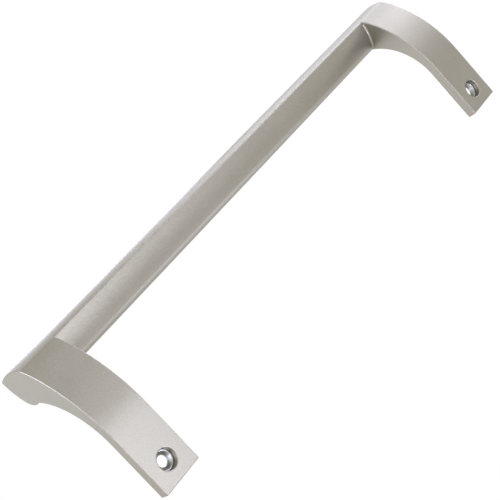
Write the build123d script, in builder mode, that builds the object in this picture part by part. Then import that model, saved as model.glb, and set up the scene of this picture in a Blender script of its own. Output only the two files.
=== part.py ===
from build123d import *

import os
from math import atan2, degrees

# Side-mounted pull handle for a refrigerator door: one moulding and two countersunk steel bushes.
#
# The handle is drawn as it hangs on the door, upright. The origin is midway between the two screw holes, on
# the plane of the feet's backs. X points across the door, away from the screw heads, so the feet's backs lie
# on X = 0 and their outer faces at negative X. Y points back along the door's side, so the grip stands in
# front of the door at negative Y. Z is up, along the grip. All sizes are in millimetres.

# Spacing and ends
hole_pitch = 288.0          # between the two screw holes, along the grip
arm_width = 22.6            # each arm and foot, along the grip, with the screw hole at its middle

# Feet, seen from the screw holes
foot_thickness = 5.3
foot_end = 10.2             # from the hole back to the foot's free end
end_corner_radius = 0.5     # rounding of the foot's two end corners

# Outer curve of an arm, from the foot's outer face round to the grip's outer edge
shoulder_start = 21.5       # from the hole forward to where the foot's face starts to curve
shoulder_radius = 65.0
shoulder_turn = 34.7        # degrees turned at that radius, before the arm runs in to the grip's edge

# Inner curve of an arm, from the foot's back round to the grip's back
throat_start = 20.6         # from the hole forward to where the foot's back starts to curve
throat_across = 12.9        # how far across the grip the throat's curve ends, from the grip's outer edge
throat_depth = 1.8          # how far inside the grip's back that curve ends
throat_corner_radius = 2.5  # rounding where the throat meets the grip's back

# Grip: a crowned front between two long edges, and an oval back
grip_reach = 66.9           # from the holes forward to the grip's two long edges
grip_inset = 13.9           # from the feet's backs across to the grip's outer edge
grip_width = 19.9           # between the two long edges
grip_crown = 1.8            # rise of the front between them
grip_depth = 16.1           # depth of the back behind them
grip_back_radius = 7.1      # at the middle of the back, run in to the edges by a flatter arc on each side
grip_edge_radius = 1.0      # rounding of the two long edges

# Rounding of the moulding
rim_radius = 0.4            # edges of the arms' sides
junction_radius = 1.0       # hollow inside corner where the grip runs into an arm's side
junction_reach = 0.8        # how far that corner reaches along the grip and across the arm
junction_overlap = 0.3      # how far that corner's material runs into the grip and the arm
junction_start = 1.7        # round the grip's back from its outer edge to where the corner starts
junction_stop = 0.2         # from where the corner ends to the rounding of the throat's rim

# Screw seats and bushes
recess_radius = 4.8
recess_depth = 2.9          # from the foot's outer face down to the bush
recess_rim_radius = 0.5     # rounding of the recess's mouth
flange_thickness = 1.4      # bush flange, which bears on the ledge under the recess
shank_radius = 3.8          # hole through that ledge
bore_radius = 2.6           # clear hole for the screw
countersink_radius = 4.1    # mouth of the bush's 90 degree countersink
bush_clearance = 0.05       # all round the bush, in the recess and in the ledge
bush_edge = 0.2             # chamfer on the flange's upper edge

# Worked out from the sizes above
side_z = hole_pitch / 2 - arm_width / 2     # inner side of an arm
end_z = hole_pitch / 2 + arm_width / 2      # outer side of an arm
edge_y = -grip_reach                        # the grip's two long edges
outer_edge = (grip_inset, edge_y)
inner_edge = (grip_inset + grip_width, edge_y)
grip_mid_x = grip_inset + grip_width / 2
throat_end = (grip_inset + throat_across, edge_y + grip_depth - throat_depth)

# The flatter arc on each side of the grip's back leaves its long edge square to the grip's width and is tangent
# to the arc at the middle
half_width = grip_width / 2
half_squares = (half_width**2 + grip_depth**2) / 2
grip_side_radius = (half_squares - grip_depth * grip_back_radius) / (half_width - grip_back_radius)
grip_side_turn = degrees(atan2(grip_depth - grip_back_radius, grip_side_radius - half_width))

# Outline of the grip: crowned front and a back of three tangent arcs, its two long edges still sharp
with BuildSketch() as sharp_grip:
    with BuildLine():
        ThreePointArc(outer_edge, (grip_mid_x, edge_y - grip_crown), inner_edge)
        outer_side = JernArc(outer_edge, (0, 1), grip_side_radius, -grip_side_turn)
        grip_back = JernArc(outer_side @ 1, outer_side % 1, grip_back_radius, 2 * grip_side_turn - 180)
        JernArc(grip_back @ 1, grip_back % 1, grip_side_radius, -grip_side_turn)
    make_face()

# The grip between the arms, with both long edges rounded
with BuildSketch() as grip_profile:
    add(sharp_grip.sketch)
    fillet(grip_profile.vertices().group_by(Axis.Y)[0], grip_edge_radius)

# An arm and its foot, from the free end round to the grip, which it takes in
with BuildSketch() as arm_profile:
    with BuildLine():
        face = Line((-foot_thickness, foot_end), (-foot_thickness, -shoulder_start))
        shoulder = JernArc(face @ 1, face % 1, shoulder_radius, shoulder_turn)
        cheek = TangentArc(shoulder @ 1, outer_edge, tangent=shoulder % 1)
        Line(cheek @ 1, throat_end)
        back = Line((0, foot_end), (0, -throat_start))
        throat = TangentArc(back @ 1, throat_end, tangent=back % 1)
        Line(face @ 0, back @ 0)
    make_face()
    add(sharp_grip.sketch)
    fillet(arm_profile.vertices().sort_by_distance(grip_back @ 0.5)[0], throat_corner_radius)
    fillet(arm_profile.vertices().sort_by_distance(inner_edge)[0], grip_edge_radius)
    fillet(arm_profile.vertices().sort_by_distance(outer_edge)[0], grip_edge_radius)
    fillet(arm_profile.vertices().group_by(Axis.Y)[-1], end_corner_radius)

# Inside corner where the grip's back runs into the upper arm's side, swept from the outer edge to the throat
corner_arcs = Wire([outer_side.trim(junction_start / outer_side.length, 1), grip_back.trim(0, 0.5)])
corner_path = Location((0, 0, side_z)) * corner_arcs
with BuildPart() as junction:
    along = corner_path % 0
    with BuildSketch(Plane(corner_path @ 0, x_dir=along.cross(Vector(0, 0, -1)), z_dir=along)):
        with BuildLine():
            RadiusArc((junction_reach, 0), (0, -junction_reach), -junction_radius)
            Polyline(
                (0, -junction_reach),
                (-junction_overlap, -junction_reach),
                (-junction_overlap, junction_overlap),
                (junction_reach, junction_overlap),
                (junction_reach, 0),
            )
        make_face()
    sweep(path=corner_path)
    with BuildSketch(Plane.XY.offset(side_z)):
        with Locations(throat.arc_center):
            Circle(throat.radius + rim_radius + junction_stop)
    extrude(amount=2 * junction_reach, both=True, mode=Mode.SUBTRACT)

# The moulding: an arm and a foot at each end, with their screw seats, and the grip between them
with BuildPart() as handle:
    with BuildSketch(Plane.XY.offset(side_z)):
        add(arm_profile.sketch)
    extrude(amount=arm_width)
    fillet(handle.edges().group_by(Axis.Z)[0] + handle.edges().group_by(Axis.Z)[-1], rim_radius)
    with Locations(Plane((-foot_thickness, 0, hole_pitch / 2), z_dir=(-1, 0, 0))):
        CounterBoreHole(shank_radius, recess_radius, recess_depth + flange_thickness, foot_thickness)
    recess_rim = handle.edges().filter_by(GeomType.CIRCLE).group_by(Axis.X)[0].sort_by(SortBy.RADIUS)[-1]
    fillet(recess_rim, recess_rim_radius)
    add(junction.part)
    mirror(about=Plane.XY)
    with BuildSketch(Plane.XY.offset(-hole_pitch / 2)):
        add(grip_profile.sketch)
    extrude(amount=hole_pitch)

# One countersunk bush for each screw seat: a flange over the ledge and a shank through it
bushes = []
for name, centre_z in (("lower_bush", -hole_pitch / 2), ("upper_bush", hole_pitch / 2)):
    flange_radius = recess_radius - bush_clearance
    flange_back = recess_depth + flange_thickness
    with BuildPart() as bush:
        with BuildSketch(Plane((-foot_thickness, 0, centre_z), x_dir=(1, 0, 0), z_dir=(0, -1, 0))):
            with BuildLine():
                Polyline(
                    (recess_depth, countersink_radius),
                    (recess_depth, flange_radius - bush_edge),
                    (recess_depth + bush_edge, flange_radius),
                    (flange_back, flange_radius),
                    (flange_back, shank_radius - bush_clearance),
                    (foot_thickness, shank_radius - bush_clearance),
                    (foot_thickness, bore_radius),
                    (recess_depth + countersink_radius - bore_radius, bore_radius),
                    close=True,
                )
            make_face()
        revolve(axis=Axis((-foot_thickness, 0, centre_z), (1, 0, 0)))
    bush.part.label = name
    bushes.append(bush.part)

handle.part.label = "handle"
os.makedirs("parts", exist_ok=True)
for piece in [handle.part, *bushes]:
    export_step(piece, f"parts/{piece.label}.step")
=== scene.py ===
"""Looks of a side-mounted refrigerator door handle: a silver-painted moulding with two plated steel bushes.

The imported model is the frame. Its moulding keeps its own mesh and gets its paint here; the two bushes are turned
again with finer edges. All sizes are in metres, in the model's frame: X into the door's side, Y back along it, Z up.
"""

import logging
import math
from dataclasses import dataclass, field
from enum import Enum

import bmesh
import bpy
from mathutils import Matrix, Vector

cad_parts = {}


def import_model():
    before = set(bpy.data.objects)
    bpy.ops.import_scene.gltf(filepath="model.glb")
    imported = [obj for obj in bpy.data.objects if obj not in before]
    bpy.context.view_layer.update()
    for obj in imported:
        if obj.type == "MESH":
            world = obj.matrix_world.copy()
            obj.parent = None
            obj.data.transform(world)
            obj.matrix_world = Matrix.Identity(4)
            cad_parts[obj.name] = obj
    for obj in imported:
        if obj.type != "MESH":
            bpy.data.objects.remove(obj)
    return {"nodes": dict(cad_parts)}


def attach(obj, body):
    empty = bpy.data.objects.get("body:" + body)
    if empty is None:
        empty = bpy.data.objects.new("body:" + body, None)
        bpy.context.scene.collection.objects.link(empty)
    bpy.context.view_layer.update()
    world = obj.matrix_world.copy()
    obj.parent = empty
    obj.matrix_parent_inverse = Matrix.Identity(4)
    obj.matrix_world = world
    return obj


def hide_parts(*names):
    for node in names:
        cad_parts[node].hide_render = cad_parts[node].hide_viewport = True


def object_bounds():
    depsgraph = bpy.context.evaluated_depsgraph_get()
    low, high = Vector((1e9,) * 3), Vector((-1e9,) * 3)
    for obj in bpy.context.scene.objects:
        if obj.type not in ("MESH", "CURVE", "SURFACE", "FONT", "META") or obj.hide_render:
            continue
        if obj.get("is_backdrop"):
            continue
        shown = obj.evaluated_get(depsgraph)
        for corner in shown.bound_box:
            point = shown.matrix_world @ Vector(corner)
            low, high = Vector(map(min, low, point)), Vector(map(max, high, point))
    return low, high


LOG = logging.getLogger("door_handle")
PHOTO_SIDE = 500  # the photograph is square, this many pixels a side
WHITE = (1.0, 1.0, 1.0)
Colour = tuple[float, float, float]
Point = tuple[float, float, float]


class Side(Enum):
    """The two ends of the handle, by the sign of their height."""

    UPPER = 1
    LOWER = -1


class Shade:
    """A socket of a shader that takes part in arithmetic: each operator adds one Math node."""

    def __init__(self, recipe: "Recipe", socket: bpy.types.NodeSocket) -> None:
        """Keeps the socket and the recipe that new nodes go into."""
        self.recipe = recipe
        self.socket = socket

    def _math(self, operation: str, first: "Shade | float", second: "Shade | float | None" = None) -> "Shade":
        """Adds a Math node.

        Args:
            operation: the Math node's operation.
            first: its first value or link.
            second: its second value or link, where the operation has one.

        Returns:
            The node's result.
        """
        inputs = {0: first} if second is None else {0: first, 1: second}
        return self.recipe.add("ShaderNodeMath", {"operation": operation}, inputs)

    def __add__(self, other: "Shade | float") -> "Shade":
        """Sum."""
        return self._math("ADD", self, other)

    def __radd__(self, other: float) -> "Shade":
        """Sum, with the number first."""
        return self._math("ADD", other, self)

    def __sub__(self, other: "Shade | float") -> "Shade":
        """Difference."""
        return self._math("SUBTRACT", self, other)

    def __rsub__(self, other: float) -> "Shade":
        """Difference, with the number first."""
        return self._math("SUBTRACT", other, self)

    def __mul__(self, other: "Shade | float") -> "Shade":
        """Product."""
        return self._math("MULTIPLY", self, other)

    def __rmul__(self, other: float) -> "Shade":
        """Product, with the number first."""
        return self._math("MULTIPLY", other, self)

    def __pow__(self, other: "Shade | float") -> "Shade":
        """Power."""
        return self._math("POWER", self, other)

    def __rpow__(self, other: float) -> "Shade":
        """Power of a number."""
        return self._math("POWER", other, self)

    def sine(self) -> "Shade":
        """Sine of a value in radians."""
        return self._math("SINE", self)

    def highest(self, other: "Shade | float") -> "Shade":
        """The higher of two values."""
        return self._math("MAXIMUM", self, other)


class Recipe:
    """The node tree of one finish, emptied and ready for its nodes."""

    def __init__(self, tree: bpy.types.NodeTree) -> None:
        """Empties the tree."""
        self.tree = tree
        tree.nodes.clear()

    def add(
        self,
        kind: str,
        settings: dict[str, object] | None = None,
        inputs: dict[str | int, object] | None = None,
        output: str | int = 0,
    ) -> Shade | None:
        """Adds one node of any type.

        Args:
            kind: the node's type.
            settings: properties that are set on the node before its sockets.
            inputs: values or links for its sockets, by name or number.
            output: which of its outputs is wanted.

        Returns:
            The wanted output, or nothing where the node has none.
        """
        node = self.tree.nodes.new(kind)
        for name, value in (settings or {}).items():
            setattr(node, name, value)
        for name, value in (inputs or {}).items():
            socket = self._enabled(node.inputs, name)
            if isinstance(value, Shade):
                self.tree.links.new(value.socket, socket)
            else:
                socket.default_value = (*value, 1.0) if isinstance(value, tuple) and socket.type == "RGBA" else value
        return Shade(self, self._enabled(node.outputs, output)) if node.outputs else None

    @staticmethod
    def _enabled(sockets: bpy.types.bpy_prop_collection, name: str | int) -> bpy.types.NodeSocket:
        """Finds a socket.

        Args:
            sockets: a node's inputs or outputs.
            name: its number among the enabled ones, or the name that the first enabled one has to have.

        Returns:
            The socket.
        """
        if isinstance(name, int):
            return [s for s in sockets if s.enabled][name]
        return next(s for s in sockets if s.name == name and s.enabled)

    def other_output(self, shade: Shade, output: str) -> Shade:
        """Another output of the node that a shade comes from."""
        return Shade(self, self._enabled(shade.socket.node.outputs, output))

    def place(self) -> Shade:
        """The surface's own coordinates, in metres."""
        return self.add("ShaderNodeTexCoord", output="Object")

    def blend(self, factor: Shade | float, first: Shade | Colour, second: Shade | Colour) -> Shade:
        """Mixes two colours.

        Args:
            factor: 0 for the first colour and 1 for the second.
            first: the first colour.
            second: the second colour.

        Returns:
            The mixed colour.
        """
        settings = {"data_type": "RGBA", "blend_type": "MIX", "clamp_factor": True}
        return self.add("ShaderNodeMix", settings, {"Factor": factor, "A": first, "B": second}, "Result")

    def noise(self, where: Shade, grain: float, detail: float = 2.0, roughness: float = 0.5) -> Shade:
        """Soft noise from 0 to 1.

        Args:
            where: the coordinates, in metres.
            grain: the size of its grains, in metres.
            detail: how many finer layers it has.
            roughness: how strong those layers are.

        Returns:
            The noise.
        """
        inputs = {"Vector": where, "Scale": 1 / grain, "Detail": detail, "Roughness": roughness}
        return self.add("ShaderNodeTexNoise", {"noise_dimensions": "3D"}, inputs)

    def relief(self, height: Shade, rise: float) -> Shade:
        """The normal of a surface with that height, whose unit rises by that many metres."""
        return self.add("ShaderNodeBump", None, {"Strength": 1.0, "Distance": rise, "Height": height})

    def shine(self, tone: Shade, metal: float, roughness: Shade, relief: Shade) -> None:
        """Closes the tree with one Principled shader.

        Args:
            tone: the base colour.
            metal: how metallic it is.
            roughness: the roughness over the surface.
            relief: the normal.
        """
        inputs = {"Base Color": tone, "Metallic": metal, "Roughness": roughness, "Normal": relief}
        surface = self.add("ShaderNodeBsdfPrincipled", None, inputs)
        self.add("ShaderNodeOutputMaterial", None, {"Surface": surface})

    def seen_directly(self) -> Shade:
        """Tells the rays that see a surface from those that light the object.

        Returns:
            1 for rays from the camera and for those that reflections and glass send on, and 0 for the light's own.
        """
        seen = paths = self.add("ShaderNodeLightPath", output="Is Camera Ray")
        for output in ("Is Glossy Ray", "Is Transmission Ray"):
            seen = seen.highest(self.other_output(paths, output))
        return seen


def new_material(name: str) -> bpy.types.Material:
    """Makes a material with nodes.

    Args:
        name: the material's name.

    Returns:
        The material.
    """
    material = bpy.data.materials.new(name)
    material.use_nodes = True
    return material


def direction(azimuth: float, elevation: float) -> Vector:
    """Turns two angles into a unit vector.

    Args:
        azimuth: the angle round Z in degrees, 0 on +X and 90 on +Y.
        elevation: the angle above the horizon in degrees.

    Returns:
        The vector.
    """
    turn, rise = math.radians(azimuth), math.radians(elevation)
    return Vector((math.cos(rise) * math.cos(turn), math.cos(rise) * math.sin(turn), math.sin(rise)))


@dataclass(frozen=True)
class SilverPaint:
    """Satin metallic silver paint on a plastic moulding, with flakes, faint clouds and orange peel."""

    colour: Colour = (0.291, 0.270, 0.215)
    metal_share: float = 0.9
    gloss_roughness: float = 0.40
    noise_gain: float = 1.6
    flake_size: float = 0.0006
    flake_contrast: float = 0.16
    flake_roughness: float = 0.10
    cloud_size: float = 0.028
    cloud_contrast: float = 0.03
    cloud_roughness: float = 0.05
    peel_size: float = 0.0016
    peel_height: float = 0.0000012
    peel_flakes: float = 0.25

    def finish(self) -> bpy.types.Material:
        """Makes the paint.

        Returns:
            The material.
        """
        material = new_material("silver_paint_finish")
        recipe = Recipe(material.node_tree)
        where = recipe.place()
        flakes = recipe.noise(where, self.flake_size, detail=3.0, roughness=0.7) - 0.5
        clouds = recipe.noise(where, self.cloud_size, detail=3.0) - 0.5
        peel = recipe.noise(where, self.peel_size, detail=1.0)
        contrast = self.flake_contrast + self.cloud_contrast
        flake_gain = self.noise_gain * self.flake_contrast / contrast
        cloud_gain = self.noise_gain * self.cloud_contrast / contrast
        dark = tuple(c * (1 - contrast) for c in self.colour)
        light = tuple(c * (1 + contrast) for c in self.colour)
        tone = recipe.blend(0.5 + flakes * flake_gain + clouds * cloud_gain, dark, light)
        roughness = self.gloss_roughness + flakes * self.flake_roughness + clouds * self.cloud_roughness
        relief = recipe.relief(peel + flakes * self.peel_flakes, self.peel_height)
        recipe.shine(tone, self.metal_share, roughness, relief)
        return material


@dataclass(frozen=True)
class ZincPlate:
    """Bright zinc plate on turned steel, with faint stains and the fine rings that the lathe leaves."""

    colour: Colour = (0.36, 0.36, 0.33)
    gloss_roughness: float = 0.27
    ring_pitch: float = 0.00022
    ring_height: float = 0.0000020
    ring_slant: float = 0.7
    stain_size: float = 0.0022
    stain_gain: float = 1.6
    stain_contrast: float = 0.16
    stain_roughness: float = 0.12

    def finish(self, name: str, axis_height: float) -> bpy.types.Material:
        """Makes the plate for one bush.

        Args:
            name: the bush's name.
            axis_height: the height of the bush's axis, which the rings go round.

        Returns:
            The material.
        """
        material = new_material(f"{name}_finish")
        recipe = Recipe(material.node_tree)
        where = recipe.place()
        across = recipe.add("ShaderNodeSeparateXYZ", None, {"Vector": where}, "X")
        back = recipe.other_output(across, "Y")
        up = recipe.other_output(across, "Z") - axis_height
        reach = (back * back + up * up) ** 0.5
        rings = ((reach + across * self.ring_slant) * (2 * math.pi / self.ring_pitch)).sine()
        stains = recipe.noise(where, self.stain_size, detail=4.0, roughness=0.6)
        dark = tuple(c * (1 - self.stain_contrast) for c in self.colour)
        tone = recipe.blend(0.5 + (stains - 0.5) * self.stain_gain, dark, self.colour)
        roughness = self.gloss_roughness + stains * self.stain_roughness
        recipe.shine(tone, 1.0, roughness, recipe.relief(rings, self.ring_height))
        return material


@dataclass(frozen=True)
class PaleFloor:
    """White floor: plain white to the camera and in reflections, apart from the object's shadow."""

    albedo: float = 0.85
    shadow_share: float = 0.12

    def finish(self, ambient: float) -> bpy.types.Material:
        """Makes the floor's surface, whose matt and white shares come to plain white out of the shadow.

        Args:
            ambient: the strength of the surrounding light that falls on it.

        Returns:
            The material.
        """
        material = new_material("floor_finish")
        recipe = Recipe(material.node_tree)
        matt = recipe.add("ShaderNodeBsdfDiffuse", None, {"Color": (self.albedo,) * 3})
        rest = (1 - self.shadow_share * self.albedo * ambient) / (1 - self.shadow_share)
        white = recipe.add("ShaderNodeEmission", None, {"Color": WHITE, "Strength": rest})
        seen = recipe.seen_directly()
        surface = recipe.add("ShaderNodeMixShader", None, {0: seen * (1 - self.shadow_share), 1: matt, 2: white})
        recipe.add("ShaderNodeOutputMaterial", None, {"Surface": surface})
        return material


@dataclass
class Moulding:
    """The painted moulding: grip, two arms and two feet in one piece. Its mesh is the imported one."""

    node: str = "handle"
    slot: str = "silver_paint"
    paint: SilverPaint = field(default_factory=SilverPaint)

    def dress(self, nodes: dict[str, bpy.types.Object]) -> bpy.types.Object:
        """Gives the moulding its paint.

        Args:
            nodes: the frame's nodes by name.

        Returns:
            The moulding.
        """
        piece = nodes[self.node]
        material = self.paint.finish()
        for place in piece.material_slots:
            place.material = material
        return piece


@dataclass
class Bush:
    """One turned steel bush with a flange, a shank and a countersink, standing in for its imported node."""

    side: Side
    axis_height: float = 0.144
    face: float = -0.0024
    flange_back: float = -0.0010
    flange_radius: float = 0.00475
    shank_radius: float = 0.00375
    bore_radius: float = 0.0026
    countersink_radius: float = 0.0041
    edge_radius: float = 0.00018
    edge_steps: int = 4
    turn_steps: int = 120
    slot: str = "plated_steel"
    plate: ZincPlate = field(default_factory=ZincPlate)

    @property
    def name(self) -> str:
        """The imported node's name."""
        return f"{self.side.name.lower()}_bush"

    @property
    def height(self) -> float:
        """The height of the bush's own axis."""
        return self.side.value * self.axis_height

    def corners(self) -> list[Vector]:
        """Lists the corners of the turned section.

        Returns:
            The corners in order, each a place across the door and a distance from the axis.
        """
        sink_end = self.face + self.countersink_radius - self.bore_radius
        corners = [
            (self.face, self.countersink_radius),
            (self.face, self.flange_radius),
            (self.flange_back, self.flange_radius),
            (self.flange_back, self.shank_radius),
            (0.0, self.shank_radius),
            (0.0, self.bore_radius),
            (sink_end, self.bore_radius),
        ]
        return [Vector(corner) for corner in corners]

    def section(self) -> list[Vector]:
        """Rounds every corner of the section.

        Returns:
            The section's points in order, closed.
        """
        corners = self.corners()
        points = []
        for before, corner, after in zip(corners[-1:] + corners[:-1], corners, corners[1:] + corners[:1]):
            start = corner + (before - corner).normalized() * self.edge_radius
            end = corner + (after - corner).normalized() * self.edge_radius
            for step in range(self.edge_steps + 1):
                t = step / self.edge_steps
                points.append(start * (1 - t) ** 2 + corner * 2 * t * (1 - t) + end * t**2)
        return points

    def build(self) -> bpy.types.Object:
        """Turns the section round the bush's axis.

        Returns:
            The bush.
        """
        shape = bmesh.new()
        section = self.section()
        rings = []
        for step in range(self.turn_steps):
            angle = 2 * math.pi * step / self.turn_steps
            back, up = math.cos(angle), math.sin(angle)
            rings.append([shape.verts.new((x, r * back, self.height + r * up)) for x, r in section])
        for ring, following in zip(rings, rings[1:] + rings[:1]):
            for i in range(len(section)):
                j = (i + 1) % len(section)
                shape.faces.new((ring[i], ring[j], following[j], following[i]))
        bmesh.ops.recalc_face_normals(shape, faces=shape.faces)
        for face in shape.faces:
            face.smooth = True
        mesh = bpy.data.meshes.new(f"turned_{self.name}")
        shape.to_mesh(mesh)
        shape.free()
        piece = bpy.data.objects.new(f"turned_{self.name}", mesh)
        bpy.context.scene.collection.objects.link(piece)
        return piece

    def dress(self, piece: bpy.types.Object) -> bpy.types.Object:
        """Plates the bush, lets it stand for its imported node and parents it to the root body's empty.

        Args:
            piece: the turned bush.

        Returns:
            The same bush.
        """
        piece.data.materials.append(self.plate.finish(self.name, self.height))
        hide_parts(self.name)
        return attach(piece, "root")


@dataclass(frozen=True)
class Lamp:
    """One square softbox, placed round the handle by its direction in degrees and aimed at it."""

    name: str
    azimuth: float
    elevation: float
    watts: float
    side: float
    distance: float = 1.2
    aim: Point = (0.0, -0.03, 0.0)
    colour: Colour = (0.712, 0.748, 1.0)

    def hang(self) -> bpy.types.Object:
        """Puts the lamp in the scene.

        Returns:
            The lamp.
        """
        data = bpy.data.lights.new(self.name, "AREA")
        data.shape = "SQUARE"
        data.size = self.side
        data.energy = self.watts
        data.color = self.colour
        lamp = bpy.data.objects.new(self.name, data)
        lamp.location = Vector(self.aim) + self.distance * direction(self.azimuth, self.elevation)
        lamp.rotation_mode = "QUATERNION"
        lamp.rotation_quaternion = (Vector(self.aim) - lamp.location).to_track_quat("-Z", "Y")
        lamp.visible_camera = False
        bpy.context.scene.collection.objects.link(lamp)
        return lamp


@dataclass(frozen=True)
class PhotoCamera:
    """The camera that took the photograph: its place, where it looks, and how it is rolled, in degrees."""

    place: Point = (-0.46886, -0.11193, 0.38467)
    azimuth: float = 9.763
    elevation: float = -36.176
    roll: float = -138.268
    focal_pixels: float = 1282.6
    sensor_width: float = 36.0

    def set_up(self) -> bpy.types.Object:
        """Puts the camera in the scene.

        Returns:
            The camera.
        """
        data = bpy.data.cameras.new("camera")
        data.sensor_width = self.sensor_width
        data.lens = self.focal_pixels / PHOTO_SIDE * self.sensor_width
        forward = direction(self.azimuth, self.elevation)
        level = forward.cross(Vector((0, 0, 1))).normalized()
        right = Matrix.Rotation(math.radians(self.roll), 3, -forward) @ level
        turn = Matrix((right, right.cross(forward), -forward)).transposed().to_4x4()
        camera = bpy.data.objects.new("camera", data)
        camera.matrix_world = Matrix.Translation(self.place) @ turn
        bpy.context.scene.collection.objects.link(camera)
        bpy.context.scene.camera = camera
        return camera


@dataclass
class Studio:
    """Pale floor below door height, white surroundings, soft lamps and the photograph's camera."""

    floor_side: float = 9.0
    floor_drop: float = 1.2
    ambient: float = 0.5
    floor: PaleFloor = field(default_factory=PaleFloor)
    camera: PhotoCamera = field(default_factory=PhotoCamera)
    lamps: tuple[Lamp, ...] = (
        Lamp("low_front_softbox", 250, -65, 4.42, 0.35),
        Lamp("left_softbox", 170, -15, 2.8, 0.35),
        Lamp("low_far_softbox", 310, -38, 1.16, 0.35),
        Lamp("front_softbox", 270, 35, 2.6, 0.45),
        Lamp("back_left_softbox", 150, 0, 7.65, 0.35),
        Lamp("low_right_softbox", 290, -50, 2.57, 0.35),
        Lamp("high_side_softbox", 0, 60, 2.09, 0.45),
        Lamp("low_back_softbox", 90, -30, 1.55, 0.45),
        Lamp("low_left_softbox", 210, -38, 1.57, 0.35),
        Lamp("rear_softbox", 0, 15, 0.907, 0.45),
        Lamp("high_left_softbox", 180, 35, 1.71, 0.45),
        Lamp("front_low_softbox", 250, -38, 1.48, 0.35),
        Lamp("left_front_softbox", 190, -15, 0.436, 0.35),
        Lamp("side_softbox", 350, -27, 1.94, 0.35),
        Lamp("top_softbox", 270, 60, 5.81, 0.45),
        Lamp("low_rear_softbox", 330, -27, 0.231, 0.35),
        Lamp("top_side_softbox", 315, 60, 5.48, 0.45),
        Lamp("top_left_softbox", 225, 60, 3.31, 0.45),
        Lamp("high_back_softbox", 180, 60, 2.69, 0.45),
        Lamp("near_side_softbox", 330, -15, 0.227, 0.35),
        Lamp("front_left_softbox", 225, 35, 0.925, 0.45),
    )

    def lay_floor(self, lowest: float) -> bpy.types.Object:
        """Lays the floor well below the object, as under a handle on a door.

        Args:
            lowest: the height of the object's lowest point.

        Returns:
            The floor.
        """
        half = self.floor_side / 2
        height = lowest - self.floor_drop
        mesh = bpy.data.meshes.new("floor")
        corners = [(-half, -half, height), (half, -half, height), (half, half, height), (-half, half, height)]
        mesh.from_pydata(corners, [], [(0, 1, 2, 3)])
        mesh.materials.append(self.floor.finish(self.ambient))
        floor = bpy.data.objects.new("floor", mesh)
        bpy.context.scene.collection.objects.link(floor)
        floor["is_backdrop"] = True
        return floor

    def surround(self) -> bpy.types.World:
        """Makes the surroundings: white where they are seen, and a plain soft light.

        Returns:
            The world.
        """
        world = bpy.data.worlds.new("surroundings")
        world.use_nodes = True
        recipe = Recipe(world.node_tree)
        strength = recipe.seen_directly() * (1 - self.ambient) + self.ambient
        light = recipe.add("ShaderNodeBackground", None, {"Color": WHITE, "Strength": strength})
        recipe.add("ShaderNodeOutputWorld", None, {"Surface": light})
        bpy.context.scene.world = world
        return world


def main() -> None:
    """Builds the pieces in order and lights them."""
    logging.basicConfig(level=logging.INFO, format="%(name)s: %(message)s")
    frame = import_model()
    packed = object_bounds()
    moulding = Moulding().dress(frame["nodes"])
    LOG.info("%s painted, %d faces", moulding.name, len(moulding.data.polygons))
    for side in Side:
        bush = Bush(side)
        piece = bush.dress(bush.build())
        LOG.info("%s turned and plated, %d faces", piece.name, len(piece.data.polygons))
    studio = Studio()
    studio.lay_floor(packed[0].z)
    studio.surround()
    for lamp in studio.lamps:
        LOG.info("%s hung", lamp.hang().name)
    studio.camera.set_up()
    bpy.context.scene.view_settings.view_transform = "Standard"


if __name__ == "__main__":
    main()
